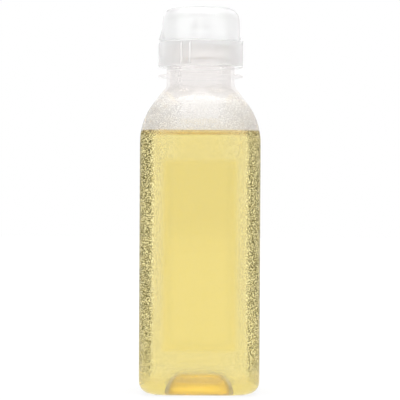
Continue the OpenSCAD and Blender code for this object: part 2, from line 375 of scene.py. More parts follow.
def new_tree(name, sizes):
    """A Geometry Nodes tree with these inputs. Gives the tree, and a wire for each input."""
    node_tree = bpy.data.node_groups.new(name, "GeometryNodeTree")
    add_socket = node_tree.interface.new_socket
    add_socket("Stations", in_out="INPUT", socket_type="NodeSocketGeometry")
    for label, size in sizes.items():
        kind = "NodeSocketInt" if isinstance(size, int) else "NodeSocketFloat"
        add_socket(label, in_out="INPUT", socket_type=kind).default_value = size
    add_socket("Material", in_out="INPUT", socket_type="NodeSocketMaterial")
    add_socket("Wall", in_out="OUTPUT", socket_type="NodeSocketGeometry")
    tree = Tree(node_tree)
    first = tree.add("NodeGroupInput")
    return tree, {label: first.output(label) for label in ("Stations", *sizes, "Material")}


print("The tree takes", len(WALL_SIZES), "sizes, a line of stations and a material")

# %% Where a column points
EIGHTH = math.radians(45)
QUARTER = math.radians(90)


def column_angle(column, size):
    """Even steps of angle on a round piece, or even steps along the side of a rounded square."""
    eighth = size["Eighth Columns"]
    round_angle = column / eighth * EIGHTH
    octant = (column / eighth).maths("FLOOR")
    mirrored = octant % 2
    step = column - octant * eighth
    step = step + mirrored * (eighth - 2 * step)
    flat = size["Flat Columns"]
    bend = (step - flat).most(0.0) / (eighth - flat) * EIGHTH
    straight = size["Section Half"] - size["Section Corner"]
    x = straight + size["Section Corner"] * bend.maths("COSINE")
    y = step.least(flat) / flat.most(1.0) * straight + size["Section Corner"] * bend.maths("SINE")
    leaned = y.maths("ARCTAN2", x)
    quarter = (column / (2 * eighth)).maths("FLOOR") * QUARTER
    square_angle = quarter + leaned + mirrored * (QUARTER - 2 * leaned)
    is_square = flat.above(0.0)
    return round_angle + is_square * (square_angle - round_angle)


print("A full turn has 8 eighths, and every second one runs backwards")


# %% How far a rounded square reaches at an angle
def square_reach(reach, corner, angle):
    """To the flat side, or to the arc of the corner. A corner as large as the reach is a circle."""
    turned = ((angle + EIGHTH) % QUARTER - EIGHTH).maths("ABSOLUTE")
    cosine = turned.maths("COSINE")
    sine = turned.maths("SINE")
    straight = reach - corner
    both = cosine + sine
    on_flat = reach / cosine
    root = straight * straight * (both * both - 2.0) + corner * corner
    on_corner = straight * both + root.most(0.0).maths("SQRT")
    is_flat = (reach * sine / cosine).below(straight)
    return on_corner + is_flat * (on_flat - on_corner)


print(f"Across its corners the body is {2 * (BODY_HALF - CORNER_R) * math.sqrt(2) + 2 * CORNER_R:.1f} mm")

# %% [markdown]
# ### Thread, tab, wedge and ribs
#
# Everything that breaks the round of a neck, a cap or a lid is worked out at the same time as the
# round itself. The screw thread is a ridge that climbs with the angle. The thumb tab is part of a
# second round that is set off to one side, and the hinge's wedge reaches to a flat plane. Two thin
# ribs run up the skirt. Each is a distance from the axis or a height above the wall, so it needs
# no cutting and leaves no seam.

# %% How high the screw thread stands at an angle and a height
THREAD_FADE = 0.08
THREAD_END = 0.1
HAIR = 0.001


def thread_height(angle, height, size):
    """Two laps can pass one point, so both are worked out, and the higher one counts."""
    lap = (angle - size["Thread Start"]) % math.tau / math.tau
    slope = (size["Thread Root"] - size["Thread Crest"]) / 2
    ridges = []
    for laps_below in (0.0, 1.0):
        along = lap + laps_below
        centre = size["Thread Low"] + size["Thread Pitch"] * along
        profile = (height - centre).maths("ABSOLUTE").falls(size["Thread Root"] / 2, slope)
        fade = (along.least(size["Thread Turns"] - along) / THREAD_FADE + THREAD_END).eased()
        ridges.append(profile * fade * along.below(size["Thread Turns"] + HAIR))
    return ridges[0].most(ridges[1]) * size["Thread Depth"]


print(f"The thread runs out over {THREAD_FADE * 360:.0f} degrees at each end")

# %% The thumb tab, the hinge's wedge and the skirt's ribs
WEDGE_EDGE = 0.25


def tab_reach(angle, radius, size):
    """The tab is part of a second, smaller round, set off towards -X."""
    off = size["Tab Centre"]
    sideways = off * angle.maths("SINE")
    chord = (radius * radius - sideways * sideways).most(0.0).maths("SQRT")
    return (chord - off * angle.maths("COSINE")) * radius.above(0.0)


def wedge_reach(angle, distance, size):
    """The wedge is flat: it reaches to a plane, as wide as the hinge."""
    cosine = angle.maths("COSINE").most(0.1)
    sideways = (distance * angle.maths("SINE") / cosine).maths("ABSOLUTE")
    edge = ((size["Wedge Half Width"] - sideways) / (WEDGE_EDGE * MM) + 0.5).eased()
    in_front = angle.maths("COSINE").above(0.5)
    return distance / cosine * in_front * edge


def rib_height(angle, reach, size):
    first = (angle - size["Rib Angle"]).maths("ABSOLUTE")
    second = (angle - size["Rib Angle"] - size["Rib Spacing"]).maths("ABSOLUTE")
    distance = first.least(second) * reach
    return distance.falls(size["Rib Width"] / 2, size["Rib Width"] / 2) * size["Rib Height"]


print(f"The wedge is {HINGE_WIDTH} mm wide, with sides rounded over {WEDGE_EDGE} mm")

# %% [markdown]
# ### Pebbles, and what the material has to know
#
# The grip of the bottle is pebbled. A blown wall takes that from its mould, which is etched or
# sand-blasted, so the pebbles have no order and no two are alike. Sculpting each of its grains would
# need far more points than one piece may have. So the tree moves the points of the wall by a
# Voronoi texture, in which each cell is a low dome, and leaves the finer grain to the material. The
# texture depends on the place alone, so it needs no seed: each run gives the same pebbles. The tree
# also keeps two values on every point for the material: how strong the grip is there, and whether
# the point lies on one of the cap's ribs.


# %% Marks read from stations, and values kept on points
def mark_reader(tree, size, row):
    """A function that reads a mark at the station of each row."""

    def mark(name):
        value = tree.add("GeometryNodeInputNamedAttribute", {"data_type": "FLOAT"}, {"Name": name})
        return tree.add(
            "GeometryNodeSampleIndex",
            {"data_type": "FLOAT", "domain": "POINT"},
            {"Geometry": size["Stations"], "Value": value, "Index": row},
        )

    return mark


def kept_on_points(tree, geometry, name, value):
    return tree.add(
        "GeometryNodeStoreNamedAttribute",
        {"data_type": "FLOAT", "domain": "POINT"},
        {"Geometry": geometry, "Name": name, "Value": value},
    )


print("A station can carry", ", ".join(LENGTH_MARKS + SHARE_MARKS))

# %% How strong the grip is at a point
CORNER_FROM = 0.35
CORNER_OVER = 0.6
PANEL_FADE = 4


def grip_strength(x, y, on_panel_side, mark, size):
    """Strong round the corners, weaker on the faces, and none inside a label panel."""
    from_middle = x.maths("ABSOLUTE").least(y.maths("ABSOLUTE")) / size["Panel Edge"]
    cornerness = from_middle.rises(CORNER_FROM, CORNER_OVER)
    on_face = mark("face_grip")
    grip = on_face + cornerness * (mark("corner_grip") - on_face)
    inside = x.maths("ABSOLUTE").falls(size["Panel Edge"], PANEL_FADE * MM) * on_panel_side
    return grip * (1.0 - inside * (mark("press") / (PANEL_DEPTH * MM)).clamped())


print(f"The grip fades out within {PANEL_FADE} mm of the panel's edge")


# %% Pebbles on a wall
def pebbled(tree, wall, size):
    """Lifts each point along its normal, to a low dome over every cell of the texture."""
    position = tree.add("GeometryNodeInputPosition")
    cell = tree.add(
        "ShaderNodeTexVoronoi",
        {"feature": "F1", "voronoi_dimensions": "3D"},
        {"Vector": position, "Scale": 1.0 / size["Pebble Size"]},
        "Distance",
    )
    grip = tree.add("GeometryNodeInputNamedAttribute", {"data_type": "FLOAT"}, {"Name": "grip"})
    dome = (0.5 - cell) * size["Pebble Height"] * grip
    normal = tree.add("GeometryNodeInputNormal")
    lift = tree.add("ShaderNodeVectorMath", {"operation": "SCALE"}, {"Vector": normal, "Scale": dome})
    return tree.add("GeometryNodeSetPosition", None, {"Geometry": wall, "Offset": lift})


print(f"A pebble is about {WALL_SIZES['Pebble Size'] / MM:.2f} mm wide")

# %% [markdown]
# ### The tree as a whole
#
# A grid gives the faces. Its last column lies on its first one, and a station on the axis is a
# whole row in one place, so Merge by Distance closes the seam and the poles. An outline either
# begins and ends on the axis, or comes back to where it began. Either way the mesh is closed, and
# its faces point away from the plastic on both sides of the wall.

# %% The tree itself
WELD = 0.004


def wall_tree():
    tree, size = new_tree("swept_wall", WALL_SIZES)
    counted = {"Geometry": size["Stations"]}
    rows = tree.add("GeometryNodeAttributeDomainSize", {"component": "MESH"}, counted, "Point Count")
    columns = size["Eighth Columns"] * 8
    grid = tree.add("GeometryNodeMeshGrid", None, {"Vertices X": columns + 1, "Vertices Y": rows})
    index = tree.add("GeometryNodeInputIndex")
    column = (index / rows + 0.0001).maths("FLOOR")
    mark = mark_reader(tree, size, index - column * rows)

    angle = column_angle(column % columns, size)
    height = mark("height")
    round_reach = square_reach(mark("reach"), mark("corner"), angle)
    rib = mark("rib") * rib_height(angle, round_reach, size)
    reach = round_reach + mark("thread") * thread_height(angle, height, size) + rib
    reach = reach.most(tab_reach(angle, mark("tab"), size))
    reach = reach.most(wedge_reach(angle, mark("wedge"), size))

    x = reach * angle.maths("COSINE")
    y = reach * angle.maths("SINE")
    panel = x.maths("ABSOLUTE").falls(size["Panel Edge"], size["Panel Bevel"])
    on_panel_side = y.maths("ABSOLUTE").above(size["Section Half"] / 2)
    y = y - mark("press") * panel * on_panel_side * y.maths("SIGN")
    place = tree.add("ShaderNodeCombineXYZ", None, {"X": x, "Y": y, "Z": height})
    wall = tree.add("GeometryNodeSetPosition", None, {"Geometry": grid, "Position": place})

    wall = kept_on_points(tree, wall, "grip", grip_strength(x, y, on_panel_side, mark, size))
    wall = kept_on_points(tree, wall, "rib", rib / size["Rib Height"])
    wall = tree.add("GeometryNodeMergeByDistance", None, {"Geometry": wall, "Distance": WELD * MM})
    wall = tree.add("GeometryNodeSetShadeSmooth", None, {"Geometry": pebbled(tree, wall, size)})
    wall = tree.add("GeometryNodeRealizeInstances", None, {"Geometry": wall})
    values = {"Geometry": wall, "Material": size["Material"]}
    wall = tree.add("GeometryNodeSetMaterial", None, values)
    tree.add("NodeGroupOutput", None, {"Wall": wall})
    return tree.node_tree


WALL_TREE = wall_tree()
print("The wall's tree has", len(WALL_TREE.nodes), "nodes")

# %% [markdown]
# ### From stations to a plain mesh
#
# The stations go into a mesh of loose points, because a mesh carries a named attribute for each
# mark. A modifier with the tree turns them into a wall. Its inputs are set by the identifiers of
# the sockets, since a name alone doesn't reach them, and before the object is evaluated for the
# first time. The result is then copied into a plain mesh, and the object with the modifier goes,
# so the piece is the plain mesh that is seen.


# %% From stations to a finished piece
def swept(name, stations, finish, **sizes):
    """Runs the tree on a line of stations, and gives its result as a plain mesh."""
    line = bpy.data.meshes.new(name + "_stations")
    line.from_pydata([(s["reach"] * MM, 0, s["height"] * MM) for s in stations], [], [])
    for label in LENGTH_MARKS + SHARE_MARKS:
        scale = MM if label in LENGTH_MARKS else 1
        layer = line.attributes.new(label, "FLOAT", "POINT")
        layer.data.foreach_set("value", [s.get(label, 0.0) * scale for s in stations])
    source = bpy.data.objects.new(name + "_source", line)
    bpy.context.scene.collection.objects.link(source)
    sweep = source.modifiers.new("swept_wall", "NODES")
    sweep.node_group = WALL_TREE
    inputs = [item for item in WALL_TREE.interface.items_tree if item.in_out == "INPUT"]
    identifiers = {item.name: item.identifier for item in inputs}
    for label, size in sizes.items():
        sweep[identifiers[label.replace("_", " ").title()]] = size
    sweep[identifiers["Material"]] = finish
    graph = bpy.context.evaluated_depsgraph_get()
    mesh = bpy.data.meshes.new_from_object(source.evaluated_get(graph))
    bpy.data.objects.remove(source)
    piece = bpy.data.objects.new(name, mesh)
    bpy.context.scene.collection.objects.link(piece)
    triangles = sum(len(face.vertices) - 2 for face in mesh.polygons)
    print(f"{name}: {len(stations)} stations, {triangles} triangles")
    return piece


# %% [markdown]
# ## Plastic, oil and foam
#
# Everything here is clear or milky, so nearly all of its look comes from how light passes through
# it. Four materials do it: clear blown plastic, golden oil, milky moulded plastic, and white foam.
# Each is a short function, and each works in Object coordinates, because the swept pieces have no
# other layout that would stay even from a flat to a corner.

# %% A new material, and where a point of it lies
WHITE = (1, 1, 1, 1)


def material(name):
    made = bpy.data.materials.new(name)
    made.use_nodes = True
    made.node_tree.nodes.clear()
    return made, Tree(made.node_tree)


def finished(made, tree, surface, **more):
    """Wires the surface to the output, and gives the material."""
    tree.add("ShaderNodeOutputMaterial", None, {"Surface": surface, **more})
    print(made.name, "takes", len(tree.node_tree.nodes), "nodes")
    return made


def place_on_piece(tree):
    """X of the point that is shaded, in Object coordinates, with Y and Z as its other outputs."""
    place = tree.add("ShaderNodeTexCoord", None, None, "Object")
    return tree.add("ShaderNodeSeparateXYZ", None, {"Vector": place}, "X")


def noise(tree, size, detail):
    place = tree.add("ShaderNodeTexCoord", None, None, "Object")
    values = {"Vector": place, "Scale": 1 / size, "Detail": detail}
    return tree.add("ShaderNodeTexNoise", None, values, "Fac")


print("A pattern reads its place in metres, so a grain of 1 mm has a scale of", 1 / MM)


# %% Colours and surfaces that several materials share
def between_shades(tree, share, first, second):
    """A colour between two others. It is a Mix node, because a Math node would turn it grey."""
    values = {"Factor": share, "A_Color": first, "B_Color": second}
    return tree.add("ShaderNodeMix", {"data_type": "RGBA"}, values, "Result_Color")


def between_surfaces(tree, share, first, second):
    return tree.add("ShaderNodeMixShader", None, {"Fac": share, 1: first, 2: second})


def clear_surface(tree, colour, roughness, index, **more):
    """A surface that bends the light that passes it."""
    values = {"Base Color": colour, "Roughness": roughness, "IOR": index, **more}
    return tree.add("ShaderNodeBsdfPrincipled", None, {"Transmission Weight": 1.0, **values})


def straight_surface(tree, colour):
    """A surface that light passes without bending."""
    return tree.add("ShaderNodeBsdfTransparent", None, {"Color": colour})


def matte_surface(tree, colour):
    values = {"Base Color": colour, "Roughness": 1.0, "Specular IOR Level": 0.0}
    return tree.add("ShaderNodeBsdfPrincipled", None, values)


# %% [markdown]
# ### The clear blown plastic
#
# The bottle is one stretch-blown wall of clear plastic. On the panels, the shoulder and the neck it
# is smooth, and there a part of the light passes straight, as it does through a thin wall whose two
# sides are parallel. The wall of the model is thicker than a real one, so without that share it
# would bend light like a lens, and draw dark arcs on the shoulder.
#
# The base has no straight share, because its slopes must mirror the oil's gold. Its underside is a
# little rougher, as a blown base is.

# %% The smooth part of the wall
PLASTIC_INDEX = 1.57
CLEAR = (0.97, 0.96, 0.955, 1)
CLEAR_BARE = (0.935, 0.925, 0.915, 1)
STRAIGHT_SHADE = (0.965, 0.955, 0.95, 1)
STRAIGHT = 0.3
NECK_STRAIGHT = 0.55
GLOSS = 0.03
UNDER_ROUGH = 0.12
UNDER_TOP = 15.0
UNDER_OVER = 3.0
UNDER_HALF = BODY_HALF - HEEL_R - 1.0
BASE_TOP = 14.0
BASE_OVER = 4.0
NECK_FROM = 145.0
NECK_OVER = 10.0
BUMP = 0.4


def smooth_wall(tree, place, grain, grip, shoulder):
    """Clear plastic with the grain as bump, and a straight share where the wall is smooth."""
    height = place.output("Z") / MM
    aside = place.maths("ABSOLUTE").most(place.output("Y").maths("ABSOLUTE")) / MM
    under = ((UNDER_TOP - height) / UNDER_OVER).clamped() * (UNDER_HALF - aside).clamped()
    values = {"Strength": 1.0, "Distance": BUMP * MM, "Height": (grain - 0.5) * grip}
    bump = tree.add("ShaderNodeBump", None, values)
    colour = between_shades(tree, shoulder, CLEAR, CLEAR_BARE)
    clear = clear_surface(tree, colour, GLOSS + UNDER_ROUGH * under, PLASTIC_INDEX, Normal=bump)
    on_neck = height.rises(NECK_FROM, NECK_OVER) * NECK_STRAIGHT
    smooth = (1.0 - grip) * height.rises(BASE_TOP, BASE_OVER) * (STRAIGHT + on_neck)
    return between_surfaces(tree, smooth, clear, straight_surface(tree, STRAIGHT_SHADE))


print(f"{STRAIGHT:.0%} of the light passes the smooth body straight, and more of it the neck")

# %% [markdown]
# ### Painted light and shade on the grip
#
# The grip looks quite different from its plastic. Where the wall turns away from the eye, every
# groove between two grains throws the light aside and shows dark, and every grain shows a pale
# glint. A path tracer needs very many samples to find that by itself. So that light and shade are
# painted: the grooves get a dark matte share of painted shade, and the grains a pale matte share of
# painted glints over an even painted sheen, from a noise finer than the pebbles of the mesh. They
# are olive and cream where oil stands behind the wall, and grey and white above it, where a fainter
# painted sheen also covers the smooth shoulder. How far the wall turns away comes from Layer Weight,
# so the painted specks keep to the outline from every side. Only the outward side of the wall has
# them, since specks on both sides would grey each other.

# %% Painted groove shade, glints and sheen
GRAIN = 0.48
TURNED_FROM = 0.02
TURNED_OVER = 0.12
GROOVE_LEAST = 0.14
GROOVE_END = 0.53
GROOVE_OVER = 0.07
GLINT_FROM = 0.54
GLINT_OVER = 0.08
GLINT_TURN = 0.05
GLINT = 0.4
PAINTED_SHEEN = 0.28
SHOULDER_SHEEN = 0.9
# The dark colours paint shade in the grooves, and the pale ones paint glints and an even sheen.
GROOVE_SHADE_COLOUR = (0.05, 0.042, 0.01, 1)
GROOVE_SHADE_BARE = (0.42, 0.41, 0.4, 1)
GLINT_AND_SHEEN_COLOUR = (1.0, 0.93, 0.55, 1)
GLINT_AND_SHEEN_BARE = (0.9, 0.88, 0.86, 1)


def with_painted_specks(tree, surface, grain, grip, bare, shoulder):
    """Painted glints over an even painted sheen, and painted shade in the grooves, on the outward side
    alone.
    """
    facing = tree.add("ShaderNodeLayerWeight", None, {"Blend": 0.5}, "Facing")
    outside = 1.0 - tree.add("ShaderNodeNewGeometry", None, None, "Backfacing")
    # The pale matte share is painted glints where the wall turns away, over an even painted sheen.
    glint_and_sheen = grain.rises(GLINT_FROM, GLINT_OVER) * (facing / GLINT_TURN).eased() * GLINT + PAINTED_SHEEN
    glint_and_sheen_reach = outside * grip.most(shoulder * SHOULDER_SHEEN)
    glint_and_sheen_surface = matte_surface(tree, between_shades(tree, bare, GLINT_AND_SHEEN_COLOUR, GLINT_AND_SHEEN_BARE))
    surface = between_surfaces(tree, glint_and_sheen * glint_and_sheen_reach, surface, glint_and_sheen_surface)
    # The dark matte share is painted shade in the grooves, strongest where the wall turns away.
    turned = facing.rises(TURNED_FROM, TURNED_OVER) * (1 - GROOVE_LEAST) + GROOVE_LEAST
    groove_shade = grain.falls(GROOVE_END, GROOVE_OVER) * turned
    groove_shade_surface = matte_surface(tree, between_shades(tree, bare, GROOVE_SHADE_COLOUR, GROOVE_SHADE_BARE))
    return between_surfaces(tree, groove_shade * grip * outside, surface, groove_shade_surface)


print(f"A grain is about {GRAIN} mm wide, a third of a pebble")


# %% Clear blown plastic
BARE_FROM = CLIMB - 0.6
SHOULDER_MASK_END = 149.0
SHOULDER_MASK_OVER = 8.0


def bottle_plastic():
    made, tree = material("blown_clear_plastic")
    place = place_on_piece(tree)
    height = place.output("Z") / MM
    grain = noise(tree, GRAIN * MM, 1.0)
    grip = tree.add("ShaderNodeAttribute", {"attribute_name": "grip"}, None, "Fac")
    bare = (height - OIL_Z - BARE_FROM).clamped()
    shoulder = bare * (1.0 - height.rises(SHOULDER_MASK_END, SHOULDER_MASK_OVER))
    surface = smooth_wall(tree, place, grain, grip, shoulder)
    surface = with_painted_specks(tree, surface, grain, grip, bare, shoulder)
    return finished(made, tree, surface)


BOTTLE_PLASTIC = bottle_plastic()

# %% [markdown]
# ### The golden oil
#
# Oil has no colour on its surface. It takes light away on the way through, blue most of all, so it
# is pale at a thin corner, yellow across the bottle and deep gold along its height. Volume
# absorption does exactly that, and a base colour couldn't. Only the thin climb of the oil at the
# wall has a painted tint. Light that reaches the climb along the surface, through the whole width
# of the oil, shows orange there, and the tint paints that light as an orange line.

# %% Golden oil
OIL_INDEX = 1.47
OIL_SURFACE = (0.94, 0.94, 0.94, 1)
OIL_EDGE_LIGHT_TINT = (1.0, 0.85, 0.4, 1)
OIL_DEPTH = (0.965, 0.861, 0.047, 1)
OIL_DENSITY = 28.0
EDGE_FROM = 0.1
EDGE_OVER = 0.8


def golden_oil():
    made, tree = material("golden_oil")
    height = place_on_piece(tree).output("Z") / MM
    climb = ((height - OIL_Z - EDGE_FROM) / EDGE_OVER).clamped()
    # The climb at the wall gets a painted orange tint, for the light that reaches it along the surface.
    surface = clear_surface(tree, between_shades(tree, climb, OIL_SURFACE, OIL_EDGE_LIGHT_TINT), 0.0, OIL_INDEX)
    values = {"Color": OIL_DEPTH, "Density": OIL_DENSITY}
    depth = tree.add("ShaderNodeVolumeAbsorption", None, values)
    return finished(made, tree, surface, Volume=depth)


OIL = golden_oil()

# %% [markdown]
# ### The milky moulded plastic of the cap
#
# Cap and lid are moulded from a plastic that is clear but a little milky: one sees light through it
# and hardly any of the spout inside. Subsurface scattering could make the milk, but it would hide
# the spout and the neck altogether. A rough transmission blurs what is behind it instead, and a
# straight share keeps it bright. The straight share grows less where the wall turns away, so the
# lid keeps a soft grey outline on a white ground. The ribs of the skirt get a painted highlight: a
# white matte share along them makes them whiter than the wall around them.

# %% Milky cap plastic
CAP_INDEX = 1.5
CAP_ROUGH = 0.3
CAP_STRAIGHT = 0.72
CAP_EDGE = 0.5
RIB_HIGHLIGHT = 0.8


def cap_plastic():
    made, tree = material("moulded_cap_plastic")
    facing = tree.add("ShaderNodeLayerWeight", None, {"Blend": 0.5}, "Facing")
    rib = tree.add("ShaderNodeAttribute", {"attribute_name": "rib"}, None, "Fac")
    glint_and_sheen_reach = clear_surface(tree, WHITE, CAP_ROUGH, CAP_INDEX)
    straight = straight_surface(tree, WHITE)
    surface = between_surfaces(tree, CAP_STRAIGHT - CAP_EDGE * facing, glint_and_sheen_reach, straight)
    # A white matte share along the ribs is a painted highlight.
    rib_highlight_surface = tree.add("ShaderNodeBsdfDiffuse", None, {"Color": WHITE})
    return finished(made, tree, between_surfaces(tree, RIB_HIGHLIGHT * rib, surface, rib_highlight_surface))


CAP_PLASTIC = cap_plastic()

# %% [markdown]
# ### The foam of the seal
#
# A foam ring seals the cap on the neck's rim. It is white and matte, with fine pores. They are
# narrower than half a millimetre and only show through the cap, so bump is enough for them, and the
# mesh stays as it is. Half of the light passes the foam, because foam that thin glows between clear
# plastics.

# %% White foam
PORE = 0.4


def foam():
    made, tree = material("white_foam")
    values = {"Strength": 0.5, "Distance": 0.1 * MM, "Height": noise(tree, PORE * MM, 4.0)}
    bump = tree.add("ShaderNodeBump", None, values)
    values = {"Base Color": (0.95, 0.95, 0.95, 1), "Roughness": 0.8, "Normal": bump}
    surface = tree.add("ShaderNodeBsdfPrincipled", None, values)
    return finished(made, tree, between_surfaces(tree, 0.5, surface, straight_surface(tree, WHITE)))


FOAM = foam()

# %% [markdown]
# ## The blown bottle
#
# The body is square with round corners up to the shoulder. From there its sides bend inward on one
# large arc and run straight to the neck, while the section turns from a rounded square into a
# circle. A bridge between a square loop and a round loop would do that too, but it would hide how
# wide and how round the section is at each height. Two short functions of the height say it
# instead, and a third gives the wall, which grows from the thin blown body to the thick neck.

# %% The body's section at a height
BEND_RISE = SHOULDER_R * math.sin(SHOULDER_ANGLE)
FOOT_R = NECK_R + NECK_FOOT


def side_reach(z):
    if z <= BODY_H:
        return BODY_HALF
    if z <= BODY_H + BEND_RISE:
        return BODY_HALF - SHOULDER_R + math.sqrt(SHOULDER_R**2 - (z - BODY_H) ** 2)
    return FOOT_R + (NECK_Z - z) * math.tan(SHOULDER_ANGLE)


def shoulder_share(z):
    """0 on the body, and 1 at the foot of the neck."""
    return (BODY_HALF - side_reach(z)) / (BODY_HALF - FOOT_R)


def side_corner(z):
    return CORNER_R + (FOOT_R - CORNER_R) * shoulder_share(z)


def side_wall(z):
    return BODY_WALL + (FOOT_R - (BORE_R - NECK_FOOT) - BODY_WALL) * shoulder_share(z)


print(f"Halfway up the shoulder the bottle is {2 * side_reach((BODY_H + NECK_Z) / 2):.1f} mm wide")

# %% [markdown]
# ### Where the wall is pressed in, and where it is pebbled
#
# The label panel is sunk by little more than half a millimetre, so that a label's edge is out of
# the way of fingers. The grip is strongest along the corners and weaker on the faces. It fades
# towards the heel, where the mould is smooth, and again over the shoulder. Painted weights could
# say that as well, but they are hard to read and to change. Here each fade is a pair of heights.

# %% Panel and grip at a height
FOOT_GRIP = 0.75
FACE_GRIP = 0.5
SHOULDER_GRIP = 0.75
HEEL_FADE = (4, 16)
FOOT_FADE = (20, 55)
FACE_START = (9, 14)
FACE_END = (132, 139)
SHOULDER_FADE = (129, 136)
CORNER_END = (142, 151)


def ease(z, low, high):
    """0 up to low, 1 from high on, and smooth in between."""
    share = min(1, max(0, (z - low) / (high - low)))
    return share * share * (3 - 2 * share)


def low_grip(z):
    return ease(z, *HEEL_FADE) * (FOOT_GRIP + (1 - FOOT_GRIP) * ease(z, *FOOT_FADE))


def panel_press(z):
    inward = min(z - PANEL_LOW, PANEL_TOP - z) / PANEL_BEVEL
    return PANEL_DEPTH * min(1, max(0, inward))


def side_station(z, inset=0.0, textured=False):
    marks = {"press": panel_press(z)}
    if textured:
        marks["face_grip"] = FACE_GRIP * ease(z, *FACE_START) * (1 - ease(z, *FACE_END))
        fade = 1 - (1 - SHOULDER_GRIP) * ease(z, *SHOULDER_FADE)
        marks["corner_grip"] = low_grip(z) * (1 - ease(z, *CORNER_END)) * fade
    return station(side_reach(z) - inset, z, side_corner(z) - inset, **marks)


for z in (10, 60, 140):
    print(f"{z} mm up, the corners have {side_station(z, textured=True)['corner_grip']:.2f} of the grip")

# %% [markdown]
# ### The base
#
# A blown bottle that stood on a flat base would rock as soon as the base sagged. So the mould
# pushes the middle of the base up, and the bottle stands on the band around it. The push-up has
# four sloping sides of 45 degrees. Seen from the front, one of them mirrors the light that falls
# down through all of the oil, which is why it shows as a golden field. Its corners are sharper than
# the construction model's, because a round corner would mirror the dark sides. One could inset the
# faces of a plain base and move them up, but here one function gives the base of the outside, of
# the inside and of the oil, each with its own wall.

# %% The base, inside or outside
PUSHUP_ROUNDING = 4
BAND_ROUNDING = 3
PUSHUP_CORNER = 0.1


def base_stations(side_t, base_t, spacing, heel_steps, skip=0.0):
    """From the middle of the base over the push-up and the flat band, and up the heel."""
    flat = BODY_HALF - HEEL_R
    foot = flat - BAND_WIDTH + base_t * math.tan(PUSHUP_SLOPE / 2)
    line = rounded([
        (skip, base_t + PUSHUP_H, 0, spacing),
        (foot - PUSHUP_H, base_t + PUSHUP_H, PUSHUP_ROUNDING, spacing),
        (foot, base_t, BAND_ROUNDING, spacing),
        (flat, base_t, 0, spacing),
    ])
    found = [station(r, z, PUSHUP_CORNER * r) for r, z in line[:-1]]
    for k in range(heel_steps):
        a = math.radians(90 * k / heel_steps)
        r = flat + (HEEL_R - side_t) * math.sin(a)
        z = HEEL_R - (HEEL_R - base_t) * math.cos(a)
        grip = low_grip(z) if side_t == 0 else 0
        found.append(station(r, z, CORNER_R - side_t, corner_grip=grip))
    return found


print(f"The bottle stands on a band that is {BAND_WIDTH} mm wide")

# %% [markdown]
# ### The neck
#
# The neck is the one part of a blown bottle that is injection moulded first, so it is thick, round
# and exact. It has a ledge that carries the bottle through the blowing machine, and a screw thread
# above it. The Screw modifier makes threads, too, but as a ridge of its own that is sunk into the
# neck, and a clear wall shows what is sunk in it. So the outline only says where the thread may
# stand, on its way up the outside, over the rim and down the bore, and the tree raises it.

# %% The neck
NECK_START = NECK_Z - 5
LEDGE_LOW = NECK_Z + LEDGE_UP
LEDGE_HIGH = LEDGE_LOW + LEDGE_T
LEDGE_RISE = 0.3


def neck_stations():
    outline = rounded([
        (side_reach(NECK_START), NECK_START, 0, 1),
        (NECK_R + 0.1, NECK_Z + 0.3, 3, 1),
        (NECK_R, LEDGE_LOW - LEDGE_RISE, 0.3, 1.5),
        (LEDGE_R, LEDGE_LOW, 0.45, 1.5),
        (LEDGE_R, LEDGE_HIGH, 0.45, 1.5),
        (NECK_R, LEDGE_HIGH + LEDGE_RISE, 0.3, 1.5),
        (NECK_R, RIM_Z, 0.4, 0.4),
        (BORE_R, RIM_Z, 0.4, 1.5),
        (BORE_R, NECK_Z, 3, 5),
        (side_reach(NECK_START) - side_wall(NECK_START), NECK_START, 0, 1.5),
    ])
    found = []
    for r, z in outline:
        outside = r > BORE_R + 1.5
        if z >= NECK_Z - 0.2:
            threaded = abs(r - NECK_R) < 0.05 and LEDGE_HIGH + 0.5 < z < RIM_Z - 0.5
            found.append(station(r, z, thread=1.0 if threaded else 0.0))
        else:
            corner = side_corner(z) if outside else side_corner(z) - side_wall(z)
            found.append(station(r, z, min(corner, r)))
    return found


print(f"The neck takes {len(neck_stations())} stations, {RIM_Z - NECK_START:.1f} mm high")

# %% [markdown]
# ### The whole outline of the bottle
#
# One closed line now goes round the wall: up the outside, over the rim of the neck and down the
# inside. The outside has a station for less than every millimetre, because the pebbles need the
# points. The inside is smooth, and only its panel, its shoulder and its heel need more than a few.

# %% The bottle
ROW = 0.92


def bevel_rows(start):
    """Six heights over one bevel of the label panel."""
    return [start + PANEL_BEVEL * k / 5 for k in range(6)]


BODY_ROWS = [HEEL_R, 13, 18, *bevel_rows(PANEL_LOW), 30, 44, 58, 72, 86, 100, 112]
BODY_ROWS += bevel_rows(PANEL_TOP - PANEL_BEVEL)
SHOULDER_ROWS = [122, BODY_H, *(NECK_Z - below for below in (25, 21, 17, 13, 10, 7.5))]


def outer_side():
    """The pebbled side, in rows that are evenly spaced along the slope."""
    found = []
    z = HEEL_R
    while z < NECK_START - 1:
        found.append(side_station(z, textured=True))
        lean = SHOULDER_ANGLE * min(1, max(0, z - BODY_H) / BEND_RISE)
        z += ROW * math.cos(lean)
    return found


def bottle_stations():
    gate_z = PUSHUP_H - GATE_H
    gate = [(0, gate_z), (GATE_R - GATE_EDGE, gate_z), (GATE_R, gate_z + GATE_EDGE)]
    outside = [station(r, z) for r, z in gate]
    outside += base_stations(0, 0, 1.2, 10, skip=GATE_R + GATE_EDGE) + outer_side()
    inside = [side_station(z, inset=side_wall(z)) for z in (BODY_ROWS + SHOULDER_ROWS)[::-1]]
    return outside + neck_stations() + inside + base_stations(BODY_WALL, BASE_WALL, 2, 8)[::-1]


bottle = swept(
    "blown_bottle",
    bottle_stations(),
    BOTTLE_PLASTIC,
    eighth_columns=33,
    flat_columns=24,
    thread_low=THREAD_LOW * MM,
)

